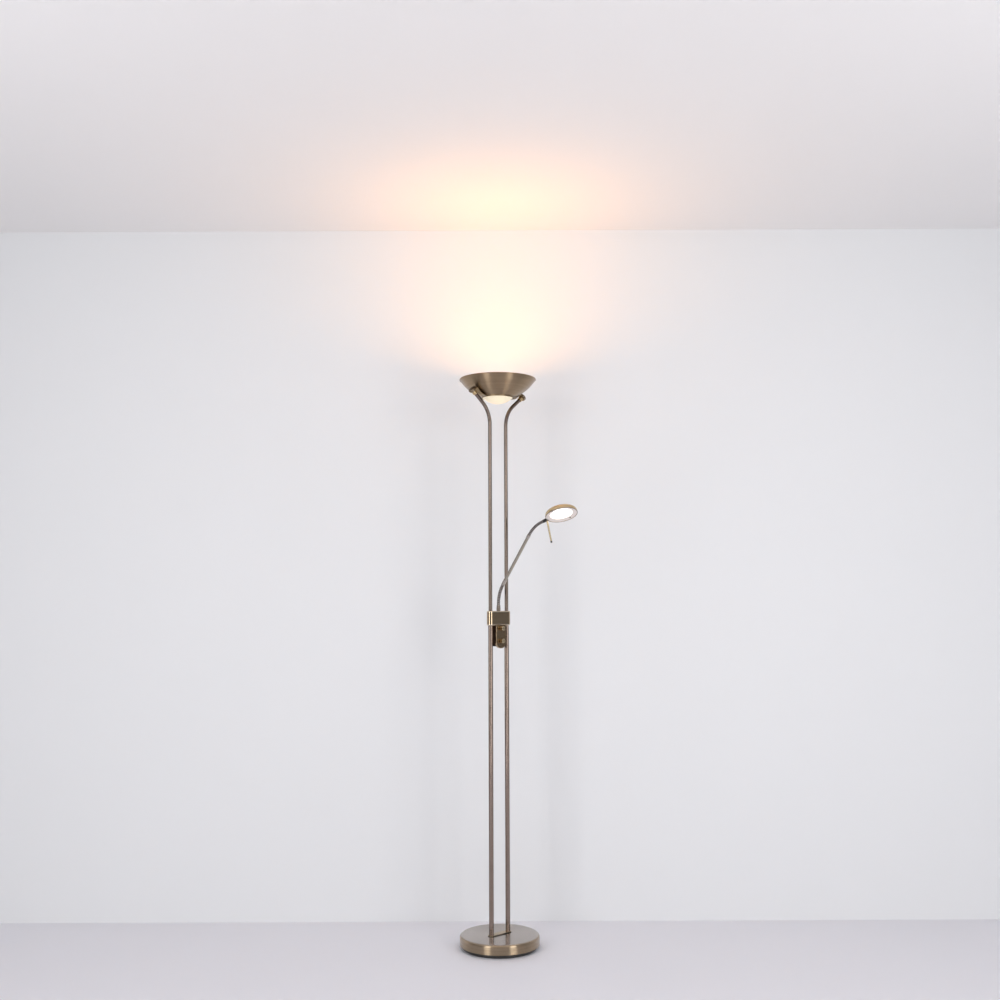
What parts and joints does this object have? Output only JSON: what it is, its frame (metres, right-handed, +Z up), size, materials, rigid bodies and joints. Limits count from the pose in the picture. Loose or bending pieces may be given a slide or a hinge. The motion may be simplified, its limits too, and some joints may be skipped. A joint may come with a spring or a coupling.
{
  "type": "torchiere floor lamp",
  "caption": "Twin-pole floor lamp in antique brass: uplight bowl over a small glass dome, round base, and a reading lamp on a flexible arm with rotary dimmers.",
  "frame": {"origin": "centre of the felt pad's underside, on the floor under the middle of the base", "axes": "+Z up along the poles, -Y to the front (dimmers and reading arm), the two poles side by side along X"},
  "size_m": [0.25, 0.4431, 1.8],
  "materials": {
    "bronze_satin": "plated steel in brushed antique brass, satin",
    "bronze_dark": "die-cast metal in dark antique brass, satin",
    "brass_turned": "turned brass, aged, satin",
    "head_bronze": "brushed antique brass, satin, warmer than the poles",
    "neck_metal": "wound flexible steel tube, dark bronze",
    "zinc_steel": "zinc-plated steel",
    "cast_weight": "raw casting, painted black",
    "black_plastic": "moulded, fine texture",
    "brown_plastic": "moulded, fine texture",
    "rubber_black": "matt",
    "felt": "pressed felt",
    "opal_glass": "frosted opal glass, lit from inside",
    "opal_plastic": "opal acrylic, lit from behind",
    "ring_white": "moulded, satin",
    "board_white": "circuit board with white solder mask",
    "board_green": "circuit board",
    "driver_white": "moulded casing",
    "aluminium_plain": "as rolled",
    "pot_metal": "plated sheet steel"
  },
  "bodies": {
    "stand": {"base_cover": "bronze_satin", "base_weight": "cast_weight", "base_pan": "black_plastic", "felt_pad": "felt", "cable_grommet": "rubber_black", "foot_gasket": "rubber_black", "foot_plate": "brass_turned", "foot_spigots": "zinc_steel", "foot_nuts": "zinc_steel", "led_driver": "driver_white", "pole_lower_left": "bronze_satin", "pole_lower_right": "bronze_satin", "pole_upper_left": "bronze_satin", "pole_upper_right": "bronze_satin", "pole_couplers": "zinc_steel", "end_collars": "brass_turned", "end_studs": "zinc_steel", "disc_nuts": "brass_turned", "shade_carrier": "bronze_dark", "bowl": "bronze_satin", "glass_dome": "opal_glass", "glass_ring": "bronze_dark", "plate_standoffs": "zinc_steel", "plate_screws": "zinc_steel", "led_plate": "aluminium_plain", "led_board_up": "board_white", "led_board_down": "board_white", "opal_diffuser": "opal_plastic", "clamp_collar": "bronze_dark", "clamp_grub_screws": "zinc_steel", "dimmer_front": "bronze_dark", "dimmer_back": "brown_plastic", "housing_screws": "zinc_steel", "dimmer_board": "board_green", "potentiometers": "pot_metal"},
    "upper_dimmer": {"knob_upper": "brass_turned", "pot_shaft_upper": "zinc_steel"},
    "lower_dimmer": {"knob_lower": "brass_turned", "pot_shaft_lower": "zinc_steel"},
    "arm_base": {"arm_base_ferrule": "bronze_dark", "arm_base_nut": "zinc_steel"},
    "neck_a_1": {"gooseneck_a1": "neck_metal"},
    "neck_a_2": {"gooseneck_a2": "neck_metal"},
    "neck_a_3": {"gooseneck_a3": "neck_metal"},
    "arm": {"arm_ferrule_lower": "bronze_satin", "arm_tube": "bronze_satin", "arm_ferrule_upper": "bronze_satin"},
    "neck_b_1": {"gooseneck_b1": "neck_metal"},
    "neck_b_2": {"gooseneck_b2": "neck_metal"},
    "neck_b_3": {"gooseneck_b3": "neck_metal"},
    "neck_b_end": {"gooseneck_b_end": "neck_metal"},
    "head": {"head_elbow": "black_plastic", "handle_rod": "brass_turned", "handle_tip": "black_plastic", "head_shell": "head_bronze", "head_ring": "ring_white", "head_lens": "opal_plastic", "head_led_board": "board_white", "head_heat_spreader": "aluminium_plain", "head_screws": "zinc_steel"}
  },
  "joints": [
    {"name": "dimmer_upper_turn", "type": "hinge", "parent": "stand", "child": "upper_dimmer", "pos_m": [0, -0.0135, 0.992], "axis": [0, 1, 0], "range_deg": [-270, 0]},
    {"name": "dimmer_lower_turn", "type": "hinge", "parent": "stand", "child": "lower_dimmer", "pos_m": [0, -0.0135, 0.952], "axis": [0, 1, 0], "range_deg": [-270, 0]},
    {"name": "arm_swing", "type": "hinge", "parent": "stand", "child": "arm_base", "pos_m": [0, 0, 1.0475], "axis": [0, 0, 1], "range_deg": [-60, 60]},
    {"name": "arm_bend_1", "type": "hinge", "parent": "arm_base", "child": "neck_a_1", "pos_m": [0, 0, 1.07749], "axis": [1, 0, 0], "range_deg": [-5, 10]},
    {"name": "arm_bend_2", "type": "hinge", "parent": "neck_a_1", "child": "neck_a_2", "pos_m": [0, -0.00286, 1.09421], "axis": [1, 0, 0], "range_deg": [-5, 10]},
    {"name": "arm_bend_3", "type": "hinge", "parent": "neck_a_2", "child": "neck_a_3", "pos_m": [0, -0.0085, 1.11022], "axis": [1, 0, 0], "range_deg": [-5, 10]},
    {"name": "arm_bend_4", "type": "hinge", "parent": "neck_a_3", "child": "arm", "pos_m": [0, -0.01675, 1.12505], "axis": [1, 0, 0], "range_deg": [-5, 10]},
    {"name": "head_bend_1", "type": "hinge", "parent": "arm", "child": "neck_b_1", "pos_m": [0, -0.15026, 1.2911], "axis": [1, 0, 0], "range_deg": [-7.5, 17.5]},
    {"name": "head_bend_2", "type": "hinge", "parent": "neck_b_1", "child": "neck_b_2", "pos_m": [0, -0.16265, 1.30238], "axis": [1, 0, 0], "range_deg": [-7.5, 17.5]},
    {"name": "head_bend_3", "type": "hinge", "parent": "neck_b_2", "child": "neck_b_3", "pos_m": [0, -0.17664, 1.31163], "axis": [1, 0, 0], "range_deg": [-7.5, 17.5]},
    {"name": "head_bend_4", "type": "hinge", "parent": "neck_b_3", "child": "neck_b_end", "pos_m": [0, -0.19188, 1.3186], "axis": [1, 0, 0], "range_deg": [-7.5, 17.5]},
    {"name": "head_roll", "type": "hinge", "parent": "neck_b_end", "child": "head", "pos_m": [0, -0.21402, 1.32482], "axis": [0, -0.9627, 0.2706], "range_deg": [-60, 60]}
  ],
  "couplings": [
    {"joint": "arm_bend_2", "follows": "arm_bend_1", "ratio": 1},
    {"joint": "arm_bend_3", "follows": "arm_bend_1", "ratio": 1},
    {"joint": "arm_bend_4", "follows": "arm_bend_1", "ratio": 1},
    {"joint": "head_bend_2", "follows": "head_bend_1", "ratio": 1},
    {"joint": "head_bend_3", "follows": "head_bend_1", "ratio": 1},
    {"joint": "head_bend_4", "follows": "head_bend_1", "ratio": 1}
  ]
}
